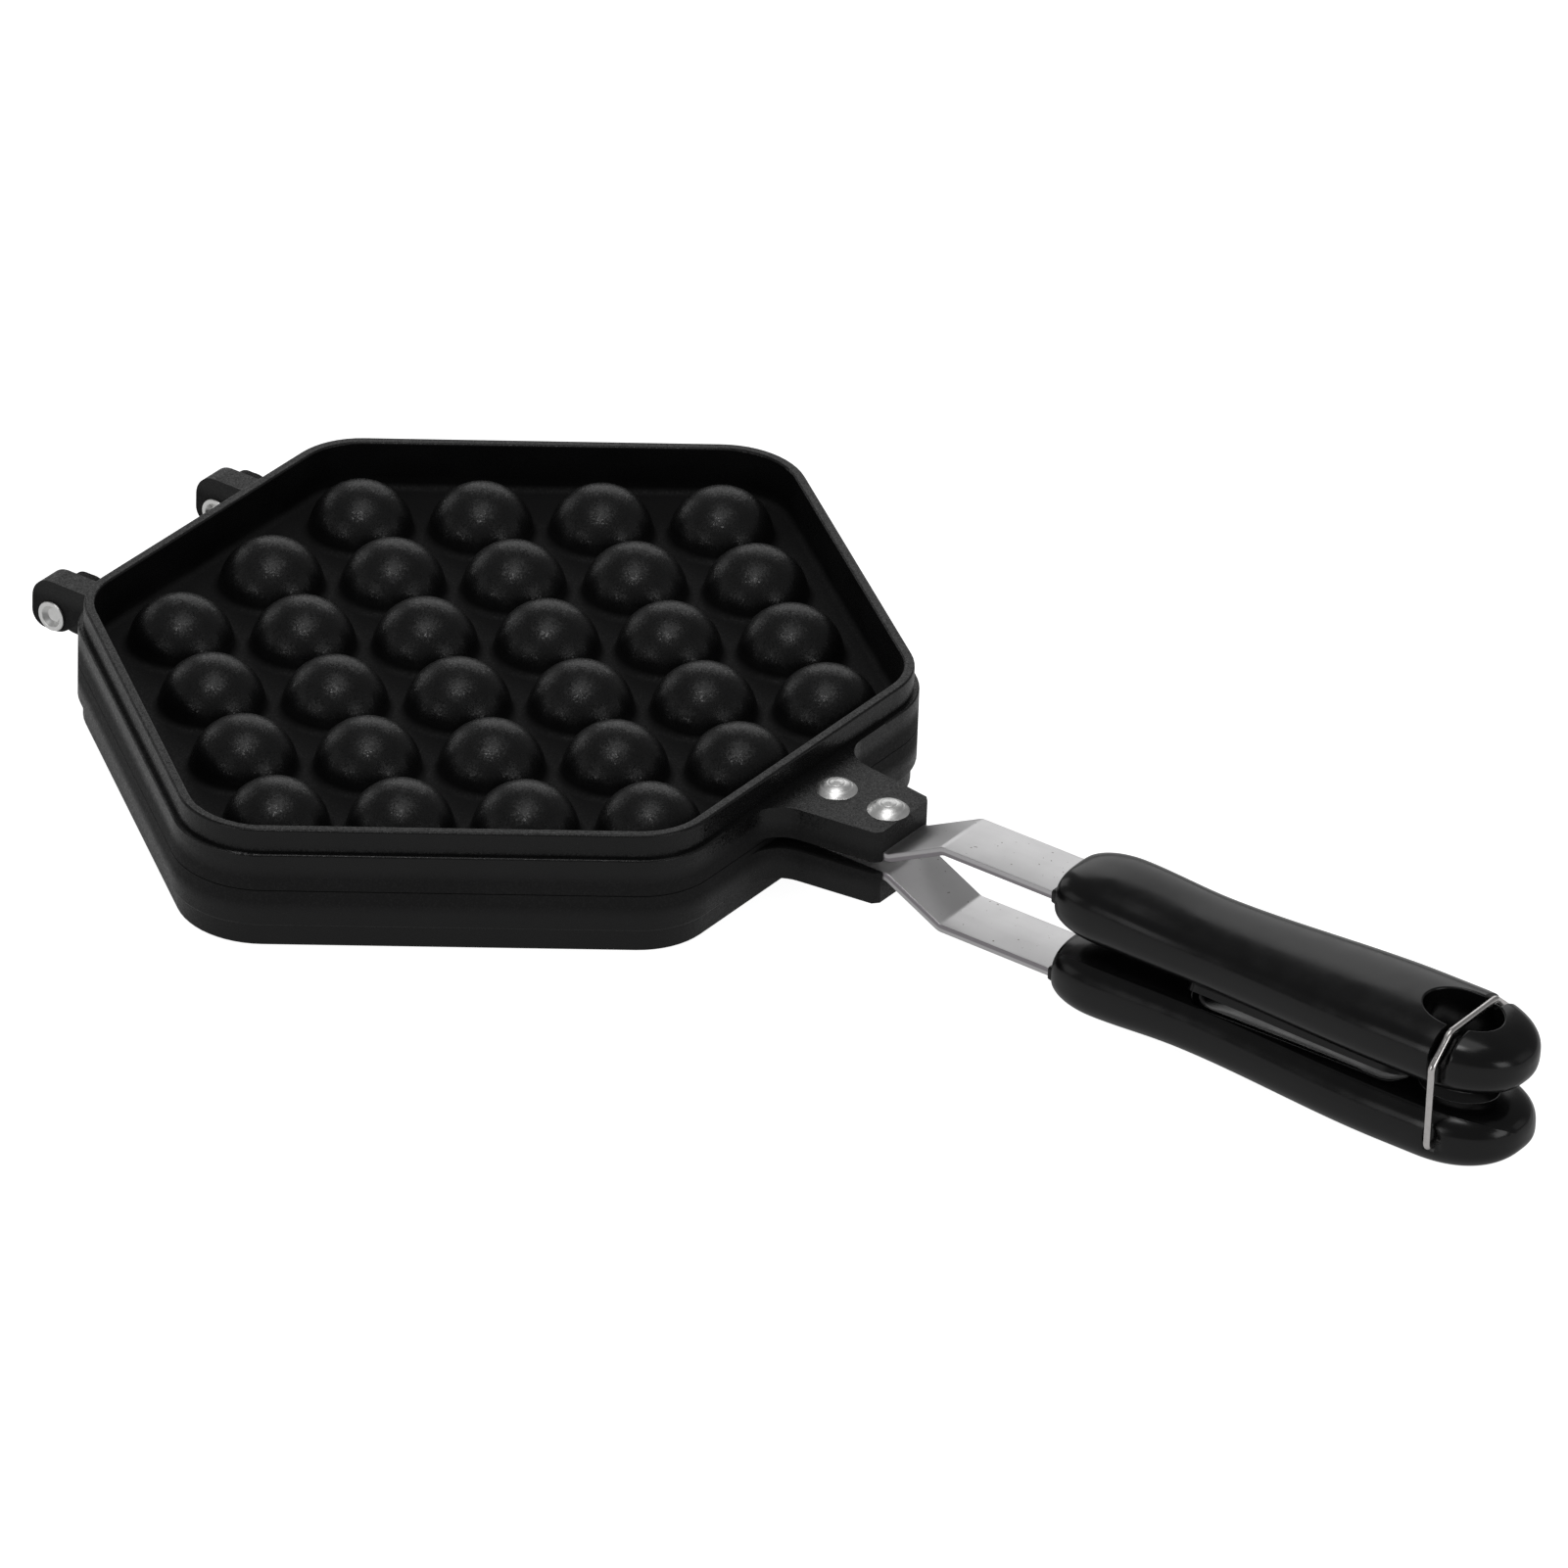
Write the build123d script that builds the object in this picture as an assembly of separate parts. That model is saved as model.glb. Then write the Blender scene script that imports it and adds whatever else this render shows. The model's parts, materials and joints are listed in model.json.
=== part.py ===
from build123d import *
import math
import os

# An egg waffle pan, closed. Two equal cast plates are hinged at the back, and each
# carries a cranked steel strap and a moulded handle half at the front. A wire clip
# on the lower handle swings over the upper one and holds the pan shut.
#
# Frame: +X from the hinge to the handle tips, +Z up, in millimetres. The pieces are
# built round the middle of the plates on their parting plane, and at the end they
# move so that the origin lies under the middle of the pan, at its lowest level.
# The lower half is the upper half turned half a turn about the X axis.

# bubbles
bubble_columns = 3           # columns on each side of the middle one
bubble_longest = 6           # bubbles in the middle column
column_pitch = 21.1          # from one column to the next, along X
bubble_pitch = 32.0          # from one bubble to the next in a column, along Y
bubble_radius = 10.0         # inside of a bubble, in the cast plate
bubble_wall = 1.8
bubble_middle = 2.35         # height of a bubble's middle above the parting plane
bubble_shift = 1.5           # how far the bubbles sit towards the handle

# plates
web_depth = 0.8              # shallow recess that joins the bubbles, in each plate
web_margin = 2.0             # from the outermost bubbles to the edge of that recess
floor_top = 2.6              # outside of the flat floor, above the parting plane
lip_top = 14.2
ledge_top = 8.8
lip_width = 2.4
ledge_step = 1.2             # from the lip's outside to the flange's edge
front_room = 3.8             # from the end column's shell to the lip
slant_room = 6.35            # from the slanted row's shell to the lip
side_corner = 16.5           # inner corner radius of the lip at the two side points
flat_corner = 15.0           # inner corner radius of the lip at the four others
parting_gap = 0.2            # between the two plates
lip_round = 0.5
ledge_round = 0.5

# hinge ears and pins
hinge_reach = 94.2           # from the plates' middle to the hinge axis
hinge_spread = 28.9          # from the middle to the gap between a pair of ears
ear_width = 6.3
ear_gap = 2.0
ear_top = 8.4
ear_nose = 5.6               # how far an ear reaches past the hinge axis
ear_drop = 3.6               # how far an ear reaches below the hinge axis
ear_nose_round = 5.2
ear_chin_round = 3.55        # below the nose
ear_heel_round = 6.0
ear_heel = 2.5               # from the hinge axis to where an ear's underside starts to rise
ear_neck = 8.0               # from the hinge axis to where the underside stops rising
ear_neck_height = 1.0
pin_radius = 2.7
pin_recess_mouth = 2.5       # radius of the tapered recess in the pin's -Y end
pin_recess_floor = 1.7
pin_recess_depth = 1.2
pin_head_radius = 3.5
pin_head_height = 0.5
pin_head_round = 0.35
pin_clearance = 0.05
pin_end_gap = 0.15           # between a pin's head and the ear that turns under it

# tangs, straps and rivets
tang_reach = 25.8            # from the flange to the tang's end
tang_root_half = 12.9
tang_end_half = 9.4
tang_blend = 8.0
tang_corner = 1.2
tang_inner = 1.4             # inner face, above the parting plane
strap_width = 15.3
strap_thickness = 2.0
strap_start = 2.0            # from the flange to the strap's hidden end
strap_slope = 27.0           # degrees
strap_rise = 7.1             # from one flat of the strap to the other
strap_bend_start = 26.9      # from the flange to the first bend
strap_bend = 3.0             # radius of the strap's middle line at a bend
strap_in_handle = 60.0       # length of the strap inside the handle
fit_gap = 0.02               # between pieces that are riveted or moulded together
rivet_first = 7.8            # from the flange to the nearer rivet
rivet_spacing = 13.6
rivet_radius = 2.4
rivet_head_radius = 4.6
rivet_head_height = 2.0
rivet_tail_radius = 3.4
rivet_tail_height = 0.8

# handles
handle_start = 152.0         # from the plates' middle
handle_length = 115.4
handle_gap = 2.4             # between the two handle halves
bulge_at = 12.0              # from the handle's start
bulge_half = 11.7
bulge_thickness = 15.4
waist_at = 33.5
waist_half = 11.5
waist_thickness = 14.4
grip_from_tip = 29.4
grip_half = 14.0
grip_thickness = 15.6
start_length = 12.0          # length of the rounded start
start_share = 0.55           # width and thickness left at the very start
start_steps = [0, 0.08, 0.25, 0.55, 1]              # shares of the start's length, at its sections
tip_length = 20.0            # length of the rounded tip
tip_steps = [0.15, 0.4, 0.6, 0.78, 0.9, 0.97, 0.995]    # shares of the tip's length
tip_power = 2.2              # 2 is an elliptical tip, more is squarer
section_power = 2.5          # 2 is an elliptical section, more is squarer
section_points = 24
hole_from_tip = 17.2         # middle of the hanging hole
hole_length = 18.0
hole_width = 14.0
recess_start = 34.2          # hollow in the handle's inner face, from the handle's start
recess_from_tip = 26.4       # from the hollow's other end to the tip
recess_half = 8.4
recess_corner = 5.0
recess_depth = 3.0

# wire clip
wire_radius = 0.8
pivot_from_tip = 14.9
pivot_drop = 9.5             # below the parting plane
pivot_depth = 4.0            # how far a turned-in end reaches into the handle
leg_gap = 0.35               # between a leg and the side of the handle
shoulder_height = 9.9        # where a leg bends inwards, above the parting plane
bar_height = 15.5
bar_half = 8.5
wire_bend = 2.2
pivot_bend = 1.1             # at the foot of a leg, where the wire turns into the handle
swing_gap = 0.35             # round the wire where it passes the upper handle
clip_swing = 100.0           # degrees

# worked out from the sizes above
shell_radius = bubble_radius + bubble_wall
side_angle = math.atan2(bubble_columns * column_pitch, bubble_columns * bubble_pitch / 2)
row_distance = (bubble_longest - 1) / 2 * bubble_pitch * math.sin(side_angle)
lip_front = bubble_columns * column_pitch + shell_radius + front_room
lip_slant = row_distance + shell_radius + slant_room
flange = lip_front + lip_width + ledge_step
handle_tip = handle_start + handle_length
grip_at = handle_length - grip_from_tip
recess_end = handle_length - recess_from_tip
pan_middle = (handle_tip - hinge_reach - ear_nose) / 2
pan_base = handle_gap / 2 + grip_thickness
overrun = 1.0                # how far a cutting tool runs past the face it cuts
nearby = 0.01                # how close to its line a corner lies to be picked


def hexagon(grow):
    """Outline of the plates, grown outwards from the inside of the lip."""
    front = lip_front + grow
    slant = lip_slant + grow
    side_y = slant / math.sin(side_angle)
    flat_y = (slant - front * math.cos(side_angle)) / math.sin(side_angle)
    left = [(-front, flat_y), (-front, -flat_y)]
    right = [(front, -flat_y), (front, flat_y)]
    face = make_face(Polyline((0, side_y), *left, (0, -side_y), *right, close=True))
    side_points = [v for v in face.vertices() if abs(v.X) < front / 2]
    face = fillet(side_points, side_corner + grow)
    flat_points = [v for v in face.vertices() if abs(abs(v.X) - front) < nearby]
    return fillet(flat_points, flat_corner + grow)


def slab(face, bottom, top):
    """A flat face made solid from one height to another."""
    return Pos(0, 0, bottom) * extrude(face, amount=top - bottom)


def bubble_places():
    """Centres of the bubbles, column by column."""
    places = []
    for column in range(-bubble_columns, bubble_columns + 1):
        count = bubble_longest - abs(column)
        for row in range(count):
            places.append((column * column_pitch + bubble_shift, (row - (count - 1) / 2) * bubble_pitch))
    return places


def upper_ear():
    """One hinge ear of the upper plate, seen along the hinge axis and then given its width."""
    root = -flange + lip_width
    outline = [
        (root, ear_top),
        (-hinge_reach - ear_nose, ear_top),
        (-hinge_reach - ear_nose, -ear_drop),
        (-hinge_reach + ear_heel, -ear_drop),
        (-hinge_reach + ear_neck, ear_neck_height),
        (root, ear_neck_height),
    ]
    face = make_face(Polyline(*outline, close=True))
    nose = [v for v in face.vertices() if v.X < -hinge_reach and v.Y > 0]
    face = fillet(nose, ear_nose_round)
    heel = [v for v in face.vertices() if v.X > -hinge_reach and v.Y < 0]
    face = fillet(heel, ear_heel_round)
    chin = [v for v in face.vertices() if v.X < -hinge_reach - ear_nose / 2 and v.Y < -ear_drop / 2]
    face = fillet(chin, ear_chin_round)
    return extrude(Plane.XZ * face, amount=ear_width, dir=(0, 1, 0))


def tang():
    """Tongue of a plate that carries the strap, blended into the flange."""
    root = flange - lip_width
    wide = tang_root_half + 2 * tang_blend
    end = flange + tang_reach
    outline = [
        (root, -wide),
        (flange, -wide),
        (flange, -tang_root_half),
        (end, -tang_end_half),
        (end, tang_end_half),
        (flange, tang_root_half),
        (flange, wide),
        (root, wide),
    ]
    face = make_face(Polyline(*outline, close=True))
    roots = [v for v in face.vertices() if abs(v.X - flange) < nearby and abs(v.Y) < wide - nearby]
    face = fillet(roots, tang_blend)
    ends = [v for v in face.vertices() if abs(v.X - end) < nearby]
    return slab(chamfer(ends, tang_corner), tang_inner, ledge_top)


def upper_plate():
    """The casting: flange, lip, floor and bubble shells, with its ears and its tang."""
    base = parting_gap / 2
    ledge = slab(hexagon(lip_width + ledge_step), base, ledge_top)
    ledge = fillet(ledge.faces().sort_by(Axis.Z)[-1].edges(), ledge_round)
    rim = slab(hexagon(lip_width), ledge_top - overrun, lip_top)
    plate = ledge + rim - slab(hexagon(0), floor_top, lip_top + overrun)
    plate = fillet(plate.faces().sort_by(Axis.Z)[-1].edges(), lip_round)
    shells = [Pos(x, y, bubble_middle) * Sphere(shell_radius) for x, y in bubble_places()]
    above_web = slab(hexagon(0), web_depth, 2 * lip_top)
    plate = plate + [shell & above_web for shell in shells]
    ear = upper_ear()
    plate = plate + Pos(0, -hinge_spread - ear_gap / 2 - ear_width, 0) * ear
    plate = plate + Pos(0, hinge_spread - ear_gap / 2 - ear_width, 0) * ear
    plate = plate + tang()
    plate = plate - [Pos(x, y, bubble_middle) * Sphere(bubble_radius) for x, y in bubble_places()]
    mouth = Cylinder(bubble_radius, bubble_middle, align=(Align.CENTER, Align.CENTER, Align.MIN))
    plate = plate - [Pos(x, y, 0) * mouth for x, y in bubble_places()]
    plate = plate - slab(hexagon(bubble_shift + web_margin - front_room - bubble_wall), 0, web_depth)
    hinge_hole = Rot(90, 0, 0) * Cylinder(pin_radius + pin_clearance, 4 * hinge_spread)
    plate = plate - Pos(-hinge_reach, 0, 0) * hinge_hole
    channel_length = tang_reach - strap_start + overrun
    channel = Box(channel_length, strap_width + 2 * fit_gap, strap_thickness + fit_gap + overrun)
    channel_x = flange + strap_start - fit_gap + channel_length / 2
    channel_z = tang_inner + strap_thickness + fit_gap - (strap_thickness + fit_gap + overrun) / 2
    plate = plate - Pos(channel_x, 0, channel_z) * channel
    for x in rivet_places():
        plate = plate - Pos(x, 0, ledge_top / 2) * Cylinder(rivet_radius + fit_gap, 2 * ledge_top)
    return plate


def rivet_places():
    """X of the two strap rivets."""
    return [flange + rivet_first, flange + rivet_first + rivet_spacing]


def upper_strap():
    """Flat strip, cranked outwards between the tang and the handle."""
    low = tang_inner + strap_thickness / 2
    high = low + strap_rise
    bend_x = flange + strap_bend_start
    top_x = bend_x + strap_rise / math.tan(math.radians(strap_slope))
    route = FilletPolyline(
        (flange + strap_start, 0, low),
        (bend_x, 0, low),
        (top_x, 0, high),
        (handle_start + strap_in_handle, 0, high),
        radius=strap_bend,
    )
    across = Plane(origin=(flange + strap_start, 0, low), x_dir=(0, 1, 0), z_dir=(1, 0, 0))
    strap = sweep(across * Rectangle(strap_width, strap_thickness), path=route)
    for x in rivet_places():
        strap = strap - Pos(x, 0, low) * Cylinder(rivet_radius + fit_gap, 2 * strap_thickness)
    return strap


def upper_rivet(x):
    """Rivet with a domed head on the tang and a flat tail under the strap."""
    dome_radius = (rivet_head_radius ** 2 + rivet_head_height ** 2) / (2 * rivet_head_height)
    dome = Pos(0, 0, ledge_top + rivet_head_height - dome_radius) * Sphere(dome_radius)
    below = Pos(0, 0, ledge_top - dome_radius) * Box(4 * dome_radius, 4 * dome_radius, 2 * dome_radius)
    head = dome - below
    shank = Cylinder(rivet_radius, ledge_top - tang_inner + fit_gap)
    shank = Pos(0, 0, (ledge_top + tang_inner) / 2) * shank
    tail = Pos(0, 0, tang_inner - rivet_tail_height / 2) * Cylinder(rivet_tail_radius, rivet_tail_height)
    tail = chamfer(tail.edges().sort_by(Axis.Z)[0], rivet_tail_height / 2)
    return Pos(x, 0, 0) * (head + shank + tail)


def hinge_pin(middle):
    """Pin through a pair of ears, with a head outside each; middle is the Y of the gap between them."""
    length = 2 * ear_width + ear_gap + pin_end_gap + 2 * pin_head_height
    pin = Cylinder(pin_radius, length)
    head = Pos(0, 0, (length - pin_head_height) / 2) * Cylinder(pin_head_radius, pin_head_height)
    head = fillet(head.edges().sort_by(Axis.Z)[-1], pin_head_round)
    flare = (pin_recess_mouth - pin_recess_floor) / pin_recess_depth
    recess = Cone(pin_recess_floor, pin_recess_mouth + flare * overrun, pin_recess_depth + overrun)
    recess = Pos(0, 0, (length - pin_recess_depth + overrun) / 2) * recess
    pin = pin + head + Rot(180, 0, 0) * head - recess
    return Pos(-hinge_reach, middle - pin_end_gap / 2, 0) * Rot(90, 0, 0) * pin


def blend(x, stations):
    """Value at x on a smooth curve that runs level through each (place, value) station."""
    for (x0, v0), (x1, v1) in zip(stations, stations[1:]):
        if x <= x1:
            share = min(max((x - x0) / (x1 - x0), 0), 1)
            return v0 + (v1 - v0) * share * share * (3 - 2 * share)
    return stations[-1][1]


def handle_taper(x):
    """Share of the full width and thickness that is left near the handle's two ends."""
    if x < start_length:
        away = 1 - x / start_length
        return start_share + (1 - start_share) * math.sqrt(1 - away * away)
    into_tip = max(x - (handle_length - tip_length), 0) / tip_length
    return (1 - into_tip ** tip_power) ** (1 / tip_power)


def handle_half_width(x):
    """Half of the handle's width, at a distance from its start."""
    return blend(x, [(bulge_at, bulge_half), (waist_at, waist_half), (grip_at, grip_half)]) * handle_taper(x)


def handle_thickness(x):
    """Thickness of one handle half, at a distance from its start."""
    full = [(bulge_at, bulge_thickness), (waist_at, waist_thickness), (grip_at, grip_thickness)]
    return blend(x, full) * handle_taper(x)


def handle_middle(x):
    """Height of the handle's middle line above the parting plane."""
    full = [(bulge_at, bulge_thickness), (waist_at, waist_thickness), (grip_at, grip_thickness)]
    return handle_gap / 2 + blend(x, full) / 2


def handle_section(half_width, half_thickness):
    """Rounded outline whose points follow a superellipse."""
    points = []
    for step in range(section_points):
        turn = 2 * math.pi * step / section_points
        y = math.copysign(abs(math.cos(turn)) ** (2 / section_power), math.cos(turn))
        z = math.copysign(abs(math.sin(turn)) ** (2 / section_power), math.sin(turn))
        points.append((half_width * y, half_thickness * z))
    return make_face(Spline(*points, periodic=True))


def handle_block():
    """Solid of one handle half, a loft through rounded sections."""
    places = [start_length * share for share in start_steps]
    places += [(start_length + waist_at) / 2, waist_at, (waist_at + grip_at) / 2, grip_at]
    places += [handle_length - tip_length * (1 - share) for share in tip_steps]
    sections = []
    for x in places:
        place = Plane(origin=(handle_start + x, 0, handle_middle(x)), x_dir=(0, 1, 0), z_dir=(1, 0, 0))
        sections.append(place * handle_section(handle_half_width(x), handle_thickness(x) / 2))
    return loft(sections)


def swing_room():
    """Space that the wire clip sweeps, and all beyond it, seen from its pivot axis."""
    clear = wire_radius + swing_gap
    leg = leg_offset()
    rise = bar_height - shoulder_height
    run = leg - bar_half
    slope = math.atan2(rise, run)
    leg_in = leg - clear
    bar_low = bar_height - clear
    cut_back = clear * math.tan((math.pi / 2 - slope) / 2)
    top = bar_height + 4 * wire_bend
    outline = [
        (leg_in, 0),
        (leg_in, shoulder_height - cut_back),
        (bar_half - clear * math.tan(slope / 2), bar_low),
        (-bar_half + clear * math.tan(slope / 2), bar_low),
        (-leg_in, shoulder_height - cut_back),
        (-leg_in, 0),
        (-leg - wire_bend, 0),
        (-leg - wire_bend, top),
        (leg + wire_bend, top),
        (leg + wire_bend, 0),
    ]
    pivot_x = handle_tip - pivot_from_tip
    upright = Plane(origin=(pivot_x, 0, 0), x_dir=(0, 1, 0), z_dir=(1, 0, 0))
    face = upright * make_face(Polyline(*outline, close=True))
    back_step = math.degrees(math.asin(clear / (bar_low + pivot_drop)))
    pivot = Axis((pivot_x, 0, -pivot_drop), (0, 1, 0))
    return revolve(face.rotate(pivot, -back_step), pivot, clip_swing + back_step)


def leg_offset():
    """Y of the middle of a clip leg."""
    return handle_half_width(handle_length - pivot_from_tip) + leg_gap + wire_radius


def upper_handle():
    """Handle half with its strap slot, hanging hole and inner hollow."""
    handle = handle_block()
    low = tang_inner + strap_thickness / 2
    slot = Box(strap_in_handle + fit_gap + overrun, strap_width + 2 * fit_gap, strap_thickness + 2 * fit_gap)
    slot_x = handle_start + (strap_in_handle + fit_gap - overrun) / 2
    handle = handle - Pos(slot_x, 0, low + strap_rise) * slot
    hole = extrude(Ellipse(hole_length / 2, hole_width / 2), amount=4 * grip_thickness, both=True)
    handle = handle - Pos(handle_tip - hole_from_tip, 0, 0) * hole
    hollow = RectangleRounded(recess_end - recess_start, 2 * recess_half, recess_corner)
    hollow = slab(hollow, 0, handle_gap / 2 + recess_depth)
    return handle - Pos(handle_start + (recess_start + recess_end) / 2, 0, 0) * hollow


def lower_handle():
    """The same handle turned over, with side holes for the clip's turned-in ends."""
    handle = Rot(180, 0, 0) * upper_handle()
    pivot_x = handle_tip - pivot_from_tip
    reach = leg_offset() - leg_gap - wire_radius
    for side in (-1, 1):
        hole = Rot(90, 0, 0) * Cylinder(wire_radius + pin_clearance, pivot_depth + overrun)
        middle = side * (reach - pivot_depth + (pivot_depth + overrun) / 2 - fit_gap)
        handle = handle - Pos(pivot_x, middle, -pivot_drop) * hole
    return handle


def wire_clip():
    """Bent wire: two turned-in ends, two legs and a bar over the upper handle."""
    leg = leg_offset()
    end = leg - leg_gap - wire_radius - pivot_depth + pin_clearance
    x = handle_tip - pivot_from_tip
    corners = [(end, -pivot_drop), (leg, -pivot_drop), (leg, shoulder_height), (bar_half, bar_height)]
    corners = corners + [(-y, z) for y, z in reversed(corners)]
    bends = [pivot_bend, wire_bend, wire_bend, wire_bend, wire_bend, pivot_bend]
    route = FilletPolyline(*[(x, y, z) for y, z in corners], radius=bends)
    section = Plane(origin=(x, end, -pivot_drop), z_dir=(0, 1, 0)) * Circle(wire_radius)
    return sweep(section, path=route)


def turned_over(piece):
    """A piece of the upper half, as the lower half has it."""
    return Rot(180, 0, 0) * piece


near_rivet, far_rivet = rivet_places()
pieces = {
    "upper_plate": upper_plate(),
    "upper_strap": upper_strap(),
    "upper_strap_rivet_near": upper_rivet(near_rivet),
    "upper_strap_rivet_far": upper_rivet(far_rivet),
    "upper_handle": upper_handle() - swing_room(),
    "lower_handle": lower_handle(),
    "hinge_pin_left": hinge_pin(hinge_spread),
    "hinge_pin_right": hinge_pin(-hinge_spread),
    "wire_clip": wire_clip(),
}
for name in ("plate", "strap", "strap_rivet_near", "strap_rivet_far"):
    pieces["lower_" + name] = turned_over(pieces["upper_" + name])

os.makedirs("parts", exist_ok=True)
for name, piece in pieces.items():
    export_step(Pos(-pan_middle, 0, pan_base) * piece, f"parts/{name}.step")

print("hinge axis at", round(-hinge_reach - pan_middle, 3), round(pan_base, 3))
print("clip pivot at", round(handle_tip - pivot_from_tip - pan_middle, 3), round(pan_base - pivot_drop, 3))
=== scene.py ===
import json
import math
import bmesh
import bpy
import numpy as np
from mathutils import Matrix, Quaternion, Vector


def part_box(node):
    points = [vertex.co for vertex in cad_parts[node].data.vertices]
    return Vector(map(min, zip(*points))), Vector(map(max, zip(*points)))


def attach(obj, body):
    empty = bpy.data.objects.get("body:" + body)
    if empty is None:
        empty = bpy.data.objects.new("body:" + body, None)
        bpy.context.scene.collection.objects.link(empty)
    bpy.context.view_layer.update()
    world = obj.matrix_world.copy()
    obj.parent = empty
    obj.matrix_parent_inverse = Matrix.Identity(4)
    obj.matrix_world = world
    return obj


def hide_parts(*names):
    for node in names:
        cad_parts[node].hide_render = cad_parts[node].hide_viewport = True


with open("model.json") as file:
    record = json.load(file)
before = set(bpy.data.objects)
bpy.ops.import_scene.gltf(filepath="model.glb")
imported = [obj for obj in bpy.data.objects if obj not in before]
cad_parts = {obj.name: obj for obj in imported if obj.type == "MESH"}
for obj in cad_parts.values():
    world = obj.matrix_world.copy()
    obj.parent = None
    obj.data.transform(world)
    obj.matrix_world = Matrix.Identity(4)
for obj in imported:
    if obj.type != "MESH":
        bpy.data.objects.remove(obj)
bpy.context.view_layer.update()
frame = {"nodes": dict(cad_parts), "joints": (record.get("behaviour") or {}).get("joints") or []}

# Egg waffle pan, closed: two black castings, steel straps, moulded handles, a wire clip.
# The frame is in metres, +X towards the handle tips and +Z up. Sizes below are in millimetres.
# The lower half is the upper half turned half a turn about the X axis on the parting plane.

mm = 0.001
nodes = frame["nodes"]
joints = {joint["name"]: joint["pos_m"] for joint in frame["joints"]}
partingZ = joints["lid_hinge"][2]
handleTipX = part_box("lower_handle")[1].x
halves = {"upper": 1, "lower": -1}


def startMaterial(name, colour, roughness, metallic=0.0, specular=0.5):
    material = bpy.data.materials.new(name)
    material.use_nodes = True
    material.diffuse_color = (*colour, 1)
    tree = material.node_tree
    shader = tree.nodes["Principled BSDF"]
    shader.inputs["Base Color"].default_value = (*colour, 1)
    shader.inputs["Roughness"].default_value = roughness
    shader.inputs["Metallic"].default_value = metallic
    shader.inputs["Specular IOR Level"].default_value = specular
    place = tree.nodes.new("ShaderNodeTexCoord").outputs["Object"]
    return material, tree, shader, place


def addNoise(tree, place, size, detail=2.0, rough=0.5, stretch=(1, 1, 1)):
    # cloudy noise whose lumps are about "size" metres across, longer along an axis by its stretch
    spread = tree.nodes.new("ShaderNodeMapping")
    spread.inputs["Scale"].default_value = [1 / s for s in stretch]
    noise = tree.nodes.new("ShaderNodeTexNoise")
    noise.inputs["Scale"].default_value = 1 / size
    noise.inputs["Detail"].default_value = detail
    noise.inputs["Roughness"].default_value = rough
    tree.links.new(place, spread.inputs["Vector"])
    tree.links.new(spread.outputs["Vector"], noise.inputs["Vector"])
    return noise.outputs["Fac"]


def addRange(tree, value, fromLow, fromHigh, toLow, toHigh):
    node = tree.nodes.new("ShaderNodeMapRange")
    for socket, number in zip(node.inputs[1:5], (fromLow, fromHigh, toLow, toHigh)):
        socket.default_value = number
    tree.links.new(value, node.inputs["Value"])
    return node.outputs["Result"]


def addMix(tree, share, colourA, colourB):
    node = tree.nodes.new("ShaderNodeMix")
    node.data_type = "RGBA"
    tree.links.new(share, node.inputs["Factor"])
    for socket, colour in ((node.inputs["A"], colourA), (node.inputs["B"], colourB)):
        if isinstance(colour, bpy.types.NodeSocket):
            tree.links.new(colour, socket)
        else:
            socket.default_value = (*colour, 1)
    return node.outputs["Result"]


def addMath(tree, operation, a, b):
    node = tree.nodes.new("ShaderNodeMath")
    node.operation = operation
    for socket, value in ((node.inputs[0], a), (node.inputs[1], b)):
        if isinstance(value, bpy.types.NodeSocket):
            tree.links.new(value, socket)
        else:
            socket.default_value = value
    return node.outputs["Value"]


def addBump(tree, shader, height, depth, strength=1.0, before=None):
    bump = tree.nodes.new("ShaderNodeBump")
    bump.inputs["Strength"].default_value = strength
    bump.inputs["Distance"].default_value = depth
    tree.links.new(height, bump.inputs["Height"])
    if before is not None:
        tree.links.new(before, bump.inputs["Normal"])
    tree.links.new(bump.outputs["Normal"], shader.inputs["Normal"])
    return bump.outputs["Normal"]


def dress(obj, material):
    obj.data.materials.clear()
    obj.data.materials.append(material)


# non-stick coating on the castings: near-black, with fine grains that catch the light
coating = {
    "colour": (0.0040, 0.0040, 0.0042),
    "worn": (0.0060, 0.0060, 0.0063),
    "specular": 0.30,
    "deepRoughness": 0.4,   # the coating is rougher by this much in the depth of the tray
    "deep": 3.0 * mm,       # heights over the parting plane between which it changes
    "raised": 6.0 * mm,
    "roughness": 0.38,
    "glintRoughness": 0.2,  # of the few smooth grains
    "cloud": 14 * mm,
    "grain": 0.3 * mm,      # one grain's size
    "grainTilt": 0.16,      # how far a grain's own face may lean, 1 is 45 degrees
    "cast": 2.6 * mm,
    "castDepth": 0.03 * mm,
}


def makeCoating():
    material, tree, shader, place = startMaterial(
        "coatedCasting", coating["colour"], coating["roughness"], specular=coating["specular"])
    cloud = addRange(tree, addNoise(tree, place, coating["cloud"], 3), 0.35, 0.7, 0, 1)
    colour = addMix(tree, cloud, coating["colour"], coating["worn"])
    tree.links.new(colour, shader.inputs["Base Color"])
    cast = addNoise(tree, place, coating["cast"], 2)
    soft = addBump(tree, shader, cast, coating["castDepth"])
    addGrains(tree, shader, place, soft)
    return material


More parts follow.
